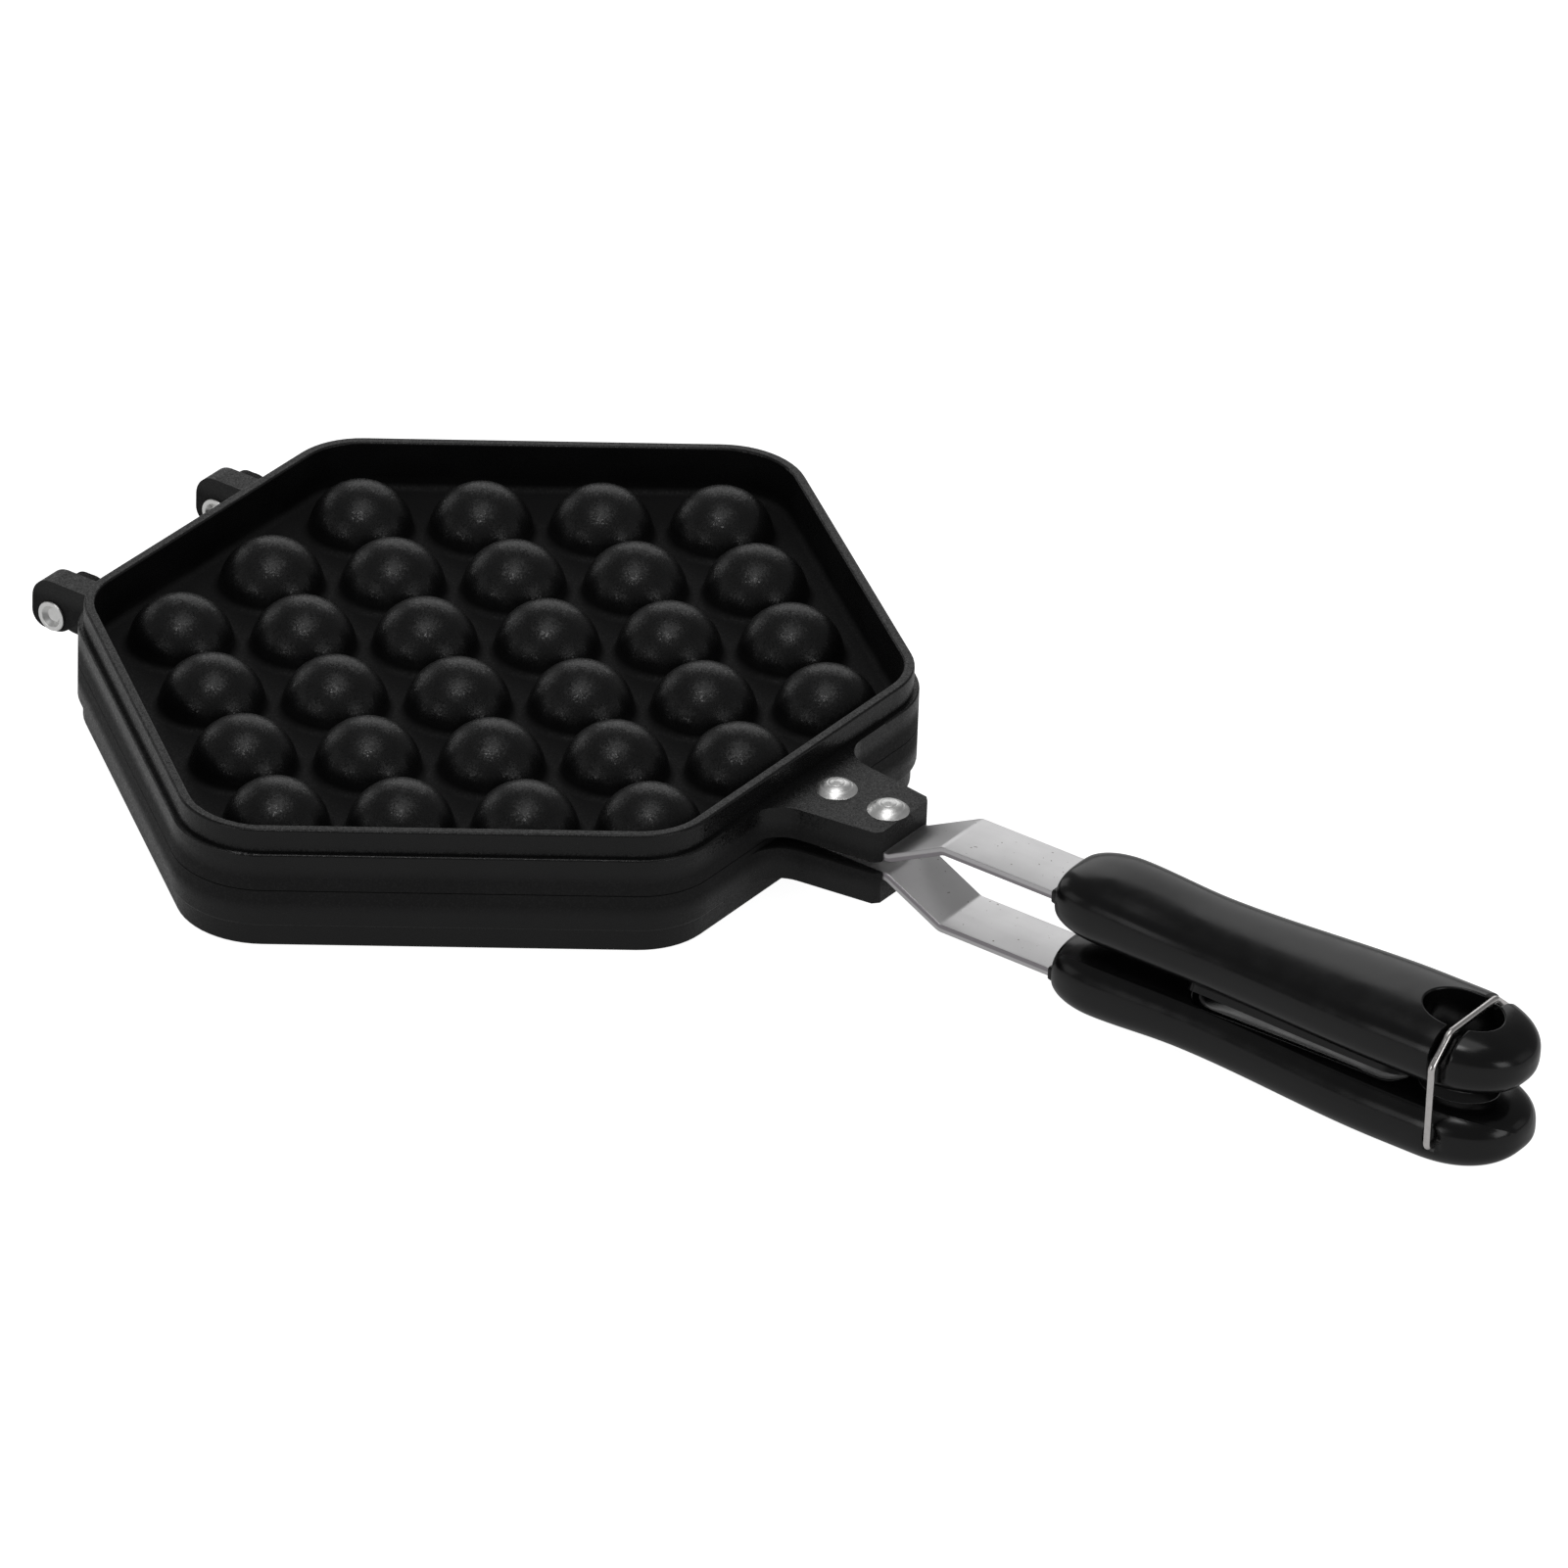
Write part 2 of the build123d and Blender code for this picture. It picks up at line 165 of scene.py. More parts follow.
def addGrains(tree, shader, place, soft):
    # each cell is one grain: its random colour leans the surface, and a few grains are smooth and glint
    cells = tree.nodes.new("ShaderNodeTexVoronoi")
    cells.inputs["Scale"].default_value = 1 / coating["grain"]
    tree.links.new(place, cells.inputs["Vector"])
    lean = tree.nodes.new("ShaderNodeVectorMath")
    lean.operation = "MULTIPLY_ADD"
    lean.inputs[1].default_value = [coating["grainTilt"]] * 3
    lean.inputs[2].default_value = [-coating["grainTilt"] / 2] * 3
    tree.links.new(cells.outputs["Color"], lean.inputs[0])
    leaning = tree.nodes.new("ShaderNodeVectorMath")
    tree.links.new(soft, leaning.inputs[0])
    tree.links.new(lean.outputs["Vector"], leaning.inputs[1])
    unit = tree.nodes.new("ShaderNodeVectorMath")
    unit.operation = "NORMALIZE"
    tree.links.new(leaning.outputs["Vector"], unit.inputs[0])
    tree.links.new(unit.outputs["Vector"], shader.inputs["Normal"])
    pick = tree.nodes.new("ShaderNodeSeparateColor")
    tree.links.new(cells.outputs["Color"], pick.inputs["Color"])
    glint = addRange(
        tree, pick.outputs["Blue"], 0.6, 0.95, coating["roughness"], coating["glintRoughness"])
    split = tree.nodes.new("ShaderNodeSeparateXYZ")
    tree.links.new(place, split.inputs["Vector"])
    height = addMath(tree, "ABSOLUTE", addMath(tree, "SUBTRACT", split.outputs["Z"], partingZ), 0)
    deep = addRange(tree, height, coating["deep"], coating["raised"], coating["deepRoughness"], 0)
    tree.links.new(addMath(tree, "ADD", glint, deep), shader.inputs["Roughness"])


# strip steel, rolled along its length; the edges are sheared, smooth near one face and torn near the other
strapSteel = {
    "colour": (0.80, 0.795, 0.80),
    "dull": (0.74, 0.735, 0.74),
    "tornEdge": (0.33, 0.31, 0.33),
    "smoothEdge": (0.62, 0.61, 0.62),
    "lines": 0.5 * mm,
    "lineDepth": 0.0004 * mm,
    "pits": 0.9 * mm,
}


def makeStrapSteel():
    material, tree, shader, place = startMaterial("rolledSteel", strapSteel["colour"], 0.25, 1.0)
    lines = addNoise(tree, place, strapSteel["lines"], 2, 0.6, (30, 1, 1))
    blotch = addNoise(tree, place, 9 * mm, 3)
    dull = addRange(tree, blotch, 0.35, 0.7, 0, 1)
    flat = addMix(tree, dull, strapSteel["colour"], strapSteel["dull"])
    pits = addNoise(tree, place, strapSteel["pits"], 1)
    flat = addMix(tree, addRange(tree, pits, 0.74, 0.8, 0, 1), flat, (0.25, 0.22, 0.21))
    edge = tree.nodes.new("ShaderNodeAttribute")
    edge.attribute_name = "edgeShare"
    level = tree.nodes.new("ShaderNodeAttribute")
    level.attribute_name = "thicknessShare"
    torn = addRange(tree, level.outputs["Fac"], -0.15, 0.1, 0, 1)
    side = addMix(tree, torn, strapSteel["tornEdge"], strapSteel["smoothEdge"])
    tree.links.new(addMix(tree, edge.outputs["Fac"], flat, side), shader.inputs["Base Color"])
    tree.links.new(addRange(tree, lines, 0.2, 0.8, 0.34, 0.42), shader.inputs["Roughness"])
    soft = addBump(tree, shader, lines, strapSteel["lineDepth"])
    addBump(tree, shader, pits, 0.002 * mm, before=soft)
    return material


def makeBrightAluminium(name):
    material, tree, shader, place = startMaterial(name, (0.93, 0.93, 0.92), 0.3, 1.0)
    grain = addNoise(tree, place, 0.8 * mm, 3)
    tree.links.new(addRange(tree, grain, 0.3, 0.7, 0.3, 0.42), shader.inputs["Roughness"])
    tree.links.new(addMix(tree, grain, (0.96, 0.96, 0.95), (0.86, 0.86, 0.85)), shader.inputs["Base Color"])
    return material


# moulded plastic: glossy black, with shallow sink marks and faint flow lines
handlePlastic = {
    "colour": (0.0035, 0.0035, 0.0037),
    "dark": (0.003, 0.003, 0.0031),
    "light": (0.0045, 0.0045, 0.0048),
    "specular": 0.36,
    "sink": 9 * mm,
    "sinkDepth": 0.02 * mm,
}


def makeHandlePlastic():
    material, tree, shader, place = startMaterial(
        "mouldedPlastic", handlePlastic["colour"], 0.2, specular=handlePlastic["specular"])
    cloud = addNoise(tree, place, 5 * mm, 3)
    lines = addNoise(tree, place, 1.2 * mm, 2, 0.5, (60, 1, 1))   # faint flow lines along the moulding
    tree.links.new(addRange(tree, cloud, 0.3, 0.7, 0.16, 0.26), shader.inputs["Roughness"])
    colour = addMix(tree, cloud, handlePlastic["dark"], handlePlastic["light"])
    tree.links.new(colour, shader.inputs["Base Color"])
    sink = addNoise(tree, place, handlePlastic["sink"], 1)
    soft = addBump(tree, shader, sink, handlePlastic["sinkDepth"])
    addBump(tree, shader, lines, 0.004 * mm, before=soft)
    return material


def makeClipWire():
    material, tree, shader, place = startMaterial("clipWire", (0.72, 0.70, 0.69), 0.2, 1.0)
    streak = addNoise(tree, place, 1.2 * mm, 2)
    tree.links.new(addRange(tree, streak, 0.3, 0.7, 0.14, 0.3), shader.inputs["Roughness"])
    tree.links.new(addMix(tree, streak, (0.76, 0.74, 0.73), (0.58, 0.56, 0.55)), shader.inputs["Base Color"])
    return material


coatingMaterial = makeCoating()
steelMaterial = makeStrapSteel()
rivetMaterial = makeBrightAluminium("brightRivet")
pinMaterial = makeBrightAluminium("brightPin")
plasticMaterial = makeHandlePlastic()
wireMaterial = makeClipWire()
for half in halves:
    dress(nodes[half + "_plate"], coatingMaterial)
print("castings coated")


def makeMesh(name, points, faces):
    mesh = bpy.data.meshes.new(name)
    mesh.from_pydata(points.tolist(), [], faces)
    shell = bmesh.new()
    shell.from_mesh(mesh)
    bmesh.ops.recalc_face_normals(shell, faces=shell.faces)
    shell.to_mesh(mesh)
    shell.free()
    piece = bpy.data.objects.new(name, mesh)
    bpy.context.scene.collection.objects.link(piece)
    return piece


def ringSurface(name, rings):
    # closed outlines one behind another, rings[i, j]; neighbours are joined by quads, and the two
    # ends get a fan to their middle point
    count, around = rings.shape[:2]
    index = np.arange(count * around).reshape(count, around)
    here, ahead = index[:-1], index[1:]
    quads = np.stack([here, np.roll(here, -1, 1), np.roll(ahead, -1, 1), ahead], -1).reshape(-1, 4)
    faces = quads.tolist()
    points = rings.reshape(-1, 3)
    points = np.vstack([points, rings[0].mean(0), rings[-1].mean(0)])
    for ring, middle in ((index[0], count * around), (index[-1], count * around + 1)):
        fan = np.stack([ring, np.roll(ring, -1), np.full(around, middle)], -1)
        faces += fan.tolist()
    return makeMesh(name, points, faces)


def finishPiece(piece, material, body, sharpAbove=35):
    piece.data.shade_smooth()
    piece.data.set_sharp_from_angle(angle=math.radians(sharpAbove))
    dress(piece, material)
    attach(piece, body)


def cutAway(piece, cutters):
    # takes the cutters' shapes out of the piece and leaves it a plain mesh
    for cutter in cutters:
        bite = piece.modifiers.new("bite", "BOOLEAN")
        bite.operation = "DIFFERENCE"
        bite.solver = "EXACT"
        bite.object = cutter
    bpy.context.view_layer.update()
    whole = piece.evaluated_get(bpy.context.evaluated_depsgraph_get())
    cut = bpy.data.meshes.new_from_object(whole)
    piece.modifiers.clear()
    piece.data = cut
    for cutter in cutters:
        bpy.data.objects.remove(cutter)


def hoopSurface(name, rings):
    # several closed hoops in one piece, rings[k, i, j]: outline i of hoop k, joined both ways round
    hoops, count, around = rings.shape[:3]
    index = np.arange(hoops * count * around).reshape(hoops, count, around)
    ahead = np.roll(index, -1, 1)
    quads = np.stack([index, np.roll(index, -1, 2), np.roll(ahead, -1, 2), ahead], -1).reshape(-1, 4)
    return makeMesh(name, rings.reshape(-1, 3), quads.tolist())


def placed(points, fromX, side):
    # millimetres from the plane x = fromX and from the parting plane, into metres in the frame
    return points * (mm, side * mm, side * mm) + (fromX, 0, partingZ)


def turnAngles(count):
    return np.linspace(0, 2 * np.pi, count, endpoint=False)


def powered(value, power):
    return np.sign(value) * np.abs(value) ** power


casting = {
    "columns": 3,           # of bubbles, on each side of the middle one
    "longest": 6,
    "columnPitch": 21.1,
    "bubblePitch": 32.0,
    "shift": 1.5,
    "shell": 11.8,          # outside radius of a bubble
    "bubbleMiddle": 2.35,
    "floor": 2.6,
    "hingeReach": 94.2,     # from the plates' middle to the hinge axis
    "frontWall": 78.9,      # from the middle square to the lip's inner face, and to a slanted one
    "slantWall": 81.9,
    "slantAngle": 52.83,    # degrees, of a slanted wall's outward direction
    "frontCorner": 15.0,    # inner corner radius next to a front wall, and between two slanted ones
    "slantCorner": 16.5,
    "cove": 1.7,            # radius at a bubble's foot
    "wallCove": 1.5,
    "buried": 0.4,          # how deep the coves' hidden sides lie in the casting
}
castingX = joints["lid_hinge"][0] + casting["hingeReach"] * mm


def bubblePlaces():
    columns = np.arange(-casting["columns"], casting["columns"] + 1)
    counts = casting["longest"] - np.abs(columns)
    column = np.repeat(columns, counts)
    row = np.arange(counts.sum()) - np.repeat(np.cumsum(counts) - counts, counts)
    x = column * casting["columnPitch"] + casting["shift"]
    y = (row - (np.repeat(counts, counts) - 1) / 2) * casting["bubblePitch"]
    return x, y


def makeBubbleCoves(name, side):
    # a quarter-round fillet turned round each bubble's foot, tangent to its sphere and to the floor
    cove = casting["cove"]
    lift = cove + casting["floor"] - casting["bubbleMiddle"]
    reach = math.sqrt((casting["shell"] + cove) ** 2 - lift ** 2)
    touch = math.asin(lift / (casting["shell"] + cove))
    turn = np.linspace(0, np.pi / 2 - touch, 9)
    r = reach - cove * np.sin(turn)
    z = casting["floor"] + cove * (1 - np.cos(turn))
    buried = casting["buried"]
    r = np.concatenate([r, [r[-1] - buried, casting["shell"] - 1.2 * buried, reach]])
    z = np.concatenate([z, [z[-1] - buried, casting["floor"] - buried, casting["floor"] - buried]])
    angles = turnAngles(48)
    x, y = (value[:, None, None] for value in bubblePlaces())
    hoop = np.stack([
        x + r[:, None] * np.cos(angles),
        y + r[:, None] * np.sin(angles),
        np.broadcast_to(z[:, None], (len(x), len(r), len(angles))),
    ], -1)
    piece = hoopSurface(name + "_bubble_coves", placed(hoop, castingX, side))
    finishPiece(piece, coatingMaterial, name + "_half", 60)


def wallOutline(insets):
    # hexagon inside the lip, moved in by each inset: every corner is an arc round a fixed middle,
    # which lies its radius inside the two walls that meet there
    slant = math.radians(casting["slantAngle"])
    facing = np.array([0, slant, np.pi - slant, np.pi, np.pi + slant, 2 * np.pi - slant])
    walls = np.arange(6)
    away = np.where(walls % 3 == 0, casting["frontWall"], casting["slantWall"])
    corner = np.where(walls % 3 == 1, casting["slantCorner"], casting["frontCorner"])
    nextFacing = facing + np.mod(np.roll(facing, -1) - facing, 2 * np.pi)
    near, far = away - corner, np.roll(away, -1) - corner
    middleX = (near * np.sin(nextFacing) - far * np.sin(facing)) / np.sin(nextFacing - facing)
    middleY = (far * np.cos(facing) - near * np.cos(nextFacing)) / np.sin(nextFacing - facing)
    angles = np.linspace(facing, nextFacing, 12, axis=1)
    radius = corner[:, None] - np.asarray(insets)[:, None, None]
    x = (middleX[:, None] + radius * np.cos(angles)).reshape(len(insets), -1)
    y = (middleY[:, None] + radius * np.sin(angles)).reshape(len(insets), -1)
    return x, y


def makeWallCove(name, side):
    # a quarter-round fillet along the foot of the lip's inner face
    cove, buried, floor = casting["wallCove"], casting["buried"], casting["floor"]
    turn = np.linspace(0, np.pi / 2, 8)
    insets = np.concatenate([cove * (1 - np.cos(turn)), [cove, -buried, -buried]])
    foot = [floor - buried, floor - buried, floor + cove]
    heights = np.concatenate([floor + cove * (1 - np.sin(turn)), foot])
    x, y = wallOutline(insets)
    hoop = np.stack([x, y, np.broadcast_to(heights[:, None], x.shape)], -1)
    piece = hoopSurface(name + "_wall_cove", placed(hoop[None], castingX, side))
    finishPiece(piece, coatingMaterial, name + "_half", 60)


for name, side in halves.items():
    makeBubbleCoves(name, side)
    makeWallCove(name, side)
print("coves at the feet of bubbles and walls")


handle = {
    "length": 115.3,
    "gap": 2.4,             # between the two halves
    "places": [12.0, 33.5, 86.0],         # bulge, waist and grip, from the handle's start
    "halfWidths": [11.7, 11.5, 14.0],
    "thicknesses": [15.4, 14.4, 15.6],
    "startLength": 12.0,    # rounded start, which leaves this share of the section at its face
    "startShare": 0.55,
    "startEdge": 0.5,       # rounding of that face's edge
    "tipLength": 19.9,
    "tipPower": 2.2,
    "innerTipPower": 3.0,   # the inner face runs flat for longer towards the tip
    "outerPower": 2.8,      # of the section's outer half, and of its inner half
    "innerPower": 2.6,
    "face": 0.7,            # where the flat start face stands
    "seamLevel": -0.77,     # parting line of the mould, as a share of the half thickness
    "seamHeight": 0.07,
    "seamWidth": 0.14,
}
startX = handleTipX - handle["length"] * mm


def smoothThrough(x, places, values):
    # runs level through each station and goes from one to the next as 3t^2 - 2t^3
    share = np.interp(x, places, np.arange(len(places)))
    step = np.minimum(share.astype(int), len(places) - 2)
    t = share - step
    values = np.array(values)
    return values[step] + (values[step + 1] - values[step]) * t * t * (3 - 2 * t)


def handleTaper(x, tipPower):
    # a quarter ellipse at the start, from startShare to 1, and a superellipse at the tip, from 1 to 0
    away = np.clip(1 - x / handle["startLength"], 0, 1)
    edge = np.clip(1 - (x - handle["face"]) / handle["startEdge"], 0, 1)
    start = handle["startShare"] + (1 - handle["startShare"]) * np.sqrt(1 - away ** 2)
    start = start - 0.05 * (1 - np.sqrt(1 - edge ** 2))
    into = np.clip((x - handle["length"] + handle["tipLength"]) / handle["tipLength"], 0, 1)
    return start * (1 - into ** tipPower) ** (1 / tipPower)


def handleForm(x):
    # half width, height above and depth below the middle line, and that line's height, at x
    half = smoothThrough(x, handle["places"], handle["thicknesses"]) / 2
    outerTaper = handleTaper(x, handle["tipPower"])
    innerTaper = handleTaper(x, handle["innerTipPower"])
    halfWidth = smoothThrough(x, handle["places"], handle["halfWidths"]) * outerTaper
    return halfWidth, half * outerTaper, half * innerTaper, handle["gap"] / 2 + half


def handleFace(x, y, outer):
    # height of the handle's outer or inner face above the parting plane at (x, y)
    halfWidth, above, below, middle = handleForm(x)
    power = handle["outerPower"] if outer else handle["innerPower"]
    inside = np.clip(1 - np.abs(y / halfWidth) ** power, 0, 1) ** (1 / power)
    return middle + above * inside if outer else middle - below * inside


clip = {
    "wire": 0.8,            # radius
    "legGap": 0.35,
    "pivotDrop": 9.5,       # below the parting plane
    "pivotDepth": 3.95,     # how far the turned-in ends reach into the lower handle
    "shoulder": 9.9,        # height where a leg turns inwards, above the parting plane
    "barHeight": 15.5,
    "barHalf": 8.5,
    "bend": 2.2,
    "footBend": 1.1,
    "room": 0.3,            # between the wire and the bottom of its groove
    "sideRoom": 1.1,        # deeper behind the legs
    "grooveBack": 1.7,      # from the wire's middle to the shoulder on the pan's side
    "grooveFront": 2.3,
    "shoulderLength": 0.35,
    "frontLength": 1.6,
}
clipX = (joints["clip_swing"][0] - startX) / mm
legOut = float(handleForm(clipX)[0]) + clip["legGap"] + clip["wire"]


def grooveShare(x):
    # 0 away from the wire and 1 under it: a short step on the pan's side, a longer ramp to the tip
    back = np.clip((x - clipX + clip["grooveBack"]) / clip["shoulderLength"] + 0.5, 0, 1)
    front = np.clip((clipX + clip["grooveFront"] - x) / clip["frontLength"] + 0.5, 0, 1)
    rise = np.minimum(back, front)
    return rise * rise * (3 - 2 * rise)


def grooveLimit(y, z, middle, name):
    # share of a section point's distance from the middle line that the wire leaves free
    reach = np.hypot(y, z - middle)
    reach = np.maximum(reach, 1e-6)
    alongY = np.abs(y) / reach
    alongZ = (z - middle) / reach
    clear = clip["wire"] + clip["room"]
    rise = clip["barHeight"] - clip["shoulder"]
    run = legOut - clip["barHalf"]
    slope = math.hypot(rise, run)
    lineY, lineZ = rise / slope, run / slope
    sideFree = (legOut - clip["wire"] - clip["sideRoom"]) / np.maximum(alongY, 1e-6)
    topFree = (clip["barHeight"] - clear - middle) / np.maximum(alongZ, 1e-6)
    slopeAt = lineY * legOut + lineZ * (clip["shoulder"] - middle) - clear
    slopeFree = slopeAt / np.maximum(lineY * alongY + lineZ * alongZ, 1e-6)
    free = sideFree
    if name == "upper":
        free = np.minimum(free, slopeFree)
        free = np.where(alongZ > 0, np.minimum(free, topFree), free)
    share = np.minimum(free / reach, 1)
    if name == "lower":     # the wire ends half-way down the lower handle's side
        below = np.clip((z - clip["pivotDrop"]) / clip["wire"] - 1, 0, 1)
        share = share + (1 - share) * below
    return share


def handleRings(name):
    # superellipse |y/w|^p + |z/t|^p = 1 round the middle line, squarer in its inner half, with a small
    # ridge along the mould's parting line, and cut back towards the middle where the wire passes
    length = handle["length"]
    tip = handle["tipLength"]
    turn = np.linspace(0, np.pi / 2, 60)
    xs = np.concatenate([
        handle["face"] + handle["startEdge"] * (1 - np.cos(np.linspace(0, np.pi / 2, 6))),
        np.linspace(1.4, handle["startLength"], 30),
        np.linspace(handle["startLength"] + 1, length - tip, 60),
        length - tip + tip * np.sin(turn[1:]) ** (2 / handle["tipPower"]) * 0.99999,
        np.linspace(clipX - clip["grooveBack"] - 0.4, clipX - clip["grooveBack"] + 0.4, 9),
        np.linspace(clipX - 1, clipX + clip["grooveFront"] + 1.6, 18),
    ])
    xs = np.unique(np.round(xs, 4))
    seam = math.asin(abs(handle["seamLevel"]) ** (handle["innerPower"] / 2))
    near = np.linspace(-0.06, 0.06, 9)
    angles = np.unique(np.concatenate([turnAngles(120), 2 * np.pi - seam + near, np.pi + seam + near]))
    halfWidth, above, below, middle = (value[:, None] for value in handleForm(xs))
    power = np.where(angles < np.pi, handle["outerPower"], handle["innerPower"])
    height = np.where(angles < np.pi, above, below)
    y = powered(np.cos(angles), 2 / power) * halfWidth
    z = powered(np.sin(angles), 2 / power) * height
    offSeam = (z / height - handle["seamLevel"]) * height / handle["seamWidth"]
    swell = 1 + handle["seamHeight"] * np.exp(-offSeam ** 2) / np.hypot(halfWidth, height)
    y, z = y * swell, z * swell
    share = 1 + grooveShare(xs)[:, None] * (grooveLimit(y, z + middle, middle, name) - 1)
    x = np.broadcast_to(xs[:, None], y.shape)
    return np.stack([x, y * share, z * share + middle], -1)


hangingHole = {"fromTip": 17.1, "length": 18.0, "width": 14.0, "rim": 0.5, "rimSteps": 7}


def holeRings():
    # an upright elliptical tube that flares at both faces of the handle along a quarter circle
    angles = turnAngles(96)
    steps = np.linspace(0, math.radians(78), hangingHole["rimSteps"])
    outs = hangingHole["rim"] * (1 - np.cos(steps))
    downs = hangingHole["rim"] * (1 - np.sin(steps))
    outs = np.concatenate([outs, [outs[-1] + 1.2]])
    downs = np.concatenate([downs, [downs[-1] - 3]])
    middleX = handle["length"] - hangingHole["fromTip"]
    rings = []
    for outer, order in ((False, slice(None, None, -1)), (True, slice(None))):
        for out, down in zip(outs[order], downs[order]):
            x = middleX + (hangingHole["length"] / 2 + out) * np.cos(angles)
            y = (hangingHole["width"] / 2 + out) * np.sin(angles)
            face = handleFace(x, y, outer)
            rings.append(np.stack([x, y, face - down if outer else face + down], -1))
    return np.array(rings)


hollow = {
    "start": 34.2,
    "end": 88.9,
    "half": 8.4,
    "corner": 5.0,
    # inset from the outline and depth below the inner face, from the rim to the middle of the trough
    "insets": [-0.9, -0.45, -0.28, -0.1, 0.0, 0.12, 0.7, 1.3, 1.45, 1.7, 2.6, 4.0, 5.4, 6.8, 7.9],
    "depths": [-2.0, -0.15, 0.04, 0.16, 0.35, 0.55, 0.75, 0.95, 1.15, 1.5, 2.1, 2.8, 3.25, 3.5, 3.6],
    "shallowEnd": 0.5,      # share of the trough's depth that is left at the tip's end
}


def roundedOutline(halfX, halfY, corner, perCorner):
    # rounded rectangle, corner by corner, each a quarter circle about its own middle
    quarter = np.linspace(0, np.pi / 2, perCorner)
    angles = np.concatenate([quarter + k * np.pi / 2 for k in range(4)])
    signX = np.repeat([1, -1, -1, 1], perCorner)
    signY = np.repeat([1, 1, -1, -1], perCorner)
    x = signX * (halfX - corner) + corner * np.cos(angles)
    y = signY * (halfY - corner) + corner * np.sin(angles)
    return x, y


def refined(outline, longest):
    # closed outline with its long straight runs divided, so that a face can bend along them
    ahead = np.roll(outline, -1, 0)
    parts = np.maximum(np.ceil(np.hypot(*(ahead - outline).T) / longest).astype(int), 1)
    which = np.repeat(np.arange(len(outline)), parts)
    step = np.arange(len(which)) - np.repeat(np.cumsum(parts) - parts, parts)
    return outline[which] + (ahead - outline)[which] * (step / parts[which])[:, None]


def hollowRings():
    # the rounded rectangle shrinks by each inset while it sinks by each depth into the inner face
    halfX = (hollow["end"] - hollow["start"]) / 2
    middleX = (hollow["end"] + hollow["start"]) / 2
    outline = np.stack(roundedOutline(halfX, hollow["half"], hollow["corner"], 9), -1)
    outline = refined(outline, 2.0)
    rings = []
    for inset, depth in zip(hollow["insets"], hollow["depths"]):
        x = outline[:, 0] * (1 - inset / halfX) + middleX
        y = outline[:, 1] * (1 - inset / hollow["half"])
        along = np.clip((x - hollow["start"]) / (hollow["end"] - hollow["start"]), 0, 1)
        extra = max(depth - 1, 0) * (1 - (1 - hollow["shallowEnd"]) * along ** 2)
        rings.append(np.stack([x, y, handleFace(x, y, False) + min(depth, 1) + extra], -1))
    return np.array(rings)


strap = {
    "width": 15.3,
    "thickness": 2.0,
    "corner": 0.28,
    "firstBend": 24.9,      # from the strap's hidden end
    "slope": 27.0,          # degrees
    "bend": 3.0,            # radius of the middle line
}
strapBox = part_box("upper_strap")
strapLow = (strapBox[0].z - partingZ) / mm + strap["thickness"] / 2
strapHigh = (strapBox[1].z - partingZ) / mm - strap["thickness"] / 2


def roundedRoute(corners, bends, steps):
    # polyline whose corners are arcs tangent to their two runs; returns points and unit directions
    corners = np.array(corners, float)
    points = [corners[0]]
    ways = [(corners[1] - corners[0]) / np.linalg.norm(corners[1] - corners[0])]
    for before, corner, after, bend in zip(corners, corners[1:], corners[2:], bends):
        into = (corner - before) / np.linalg.norm(corner - before)
        out = (after - corner) / np.linalg.norm(after - corner)
        turn = math.acos(np.clip(into @ out, -1, 1))
        side = out - into * (into @ out)
        side = side / np.linalg.norm(side)
        start = corner - into * bend * math.tan(turn / 2)
        angle = np.linspace(0, turn, steps)[:, None]
        points.extend(start + bend * np.sin(angle) * into + bend * (1 - np.cos(angle)) * side)
        ways.extend(np.cos(angle) * into + np.sin(angle) * side)
    points.append(corners[-1])
    ways.append((corners[-1] - corners[-2]) / np.linalg.norm(corners[-1] - corners[-2]))
    return np.array(points), np.array(ways)


def makeStrap(name, side):
    # a rounded rectangle carried along the cranked middle line, square to it
    firstBend = strap["firstBend"]
    rise = strapHigh - strapLow
    secondBend = firstBend + rise / math.tan(math.radians(strap["slope"]))
    length = (strapBox[1].x - strapBox[0].x) / mm
    corners = [(0, strapLow), (firstBend, strapLow), (secondBend, strapHigh), (length, strapHigh)]
    route, way = roundedRoute(corners, [strap["bend"]] * 2, 9)
    across, up = roundedOutline(strap["width"] / 2, strap["thickness"] / 2, strap["corner"], 5)
    square = np.stack([-way[:, 1], way[:, 0]], -1)
    flat = route[:, None, :] + square[:, None, :] * up[None, :, None]
    y = np.broadcast_to(across, flat.shape[:2])
    rings = np.stack([flat[..., 0], y, flat[..., 1]], -1)
    piece = ringSurface(name + "_strap_strip", placed(rings, strapBox[0].x, side))
    edge = (np.abs(across) > strap["width"] / 2 - strap["corner"] * 0.6).astype(float)
    for label, values in (("edgeShare", edge), ("thicknessShare", up * 2 / strap["thickness"])):
        column = np.concatenate([np.tile(values, len(route)), [0, 0]])
        piece.data.attributes.new(label, "FLOAT", "POINT").data.foreach_set("value", column)
    finishPiece(piece, steelMaterial, name + "_half", 50)
    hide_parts(name + "_strap")


for name, side in halves.items():
    makeStrap(name, side)
print("straps bent")


collar = {"proud": 0.2, "over": 0.5, "inside": 4.0, "corner": 0.9}


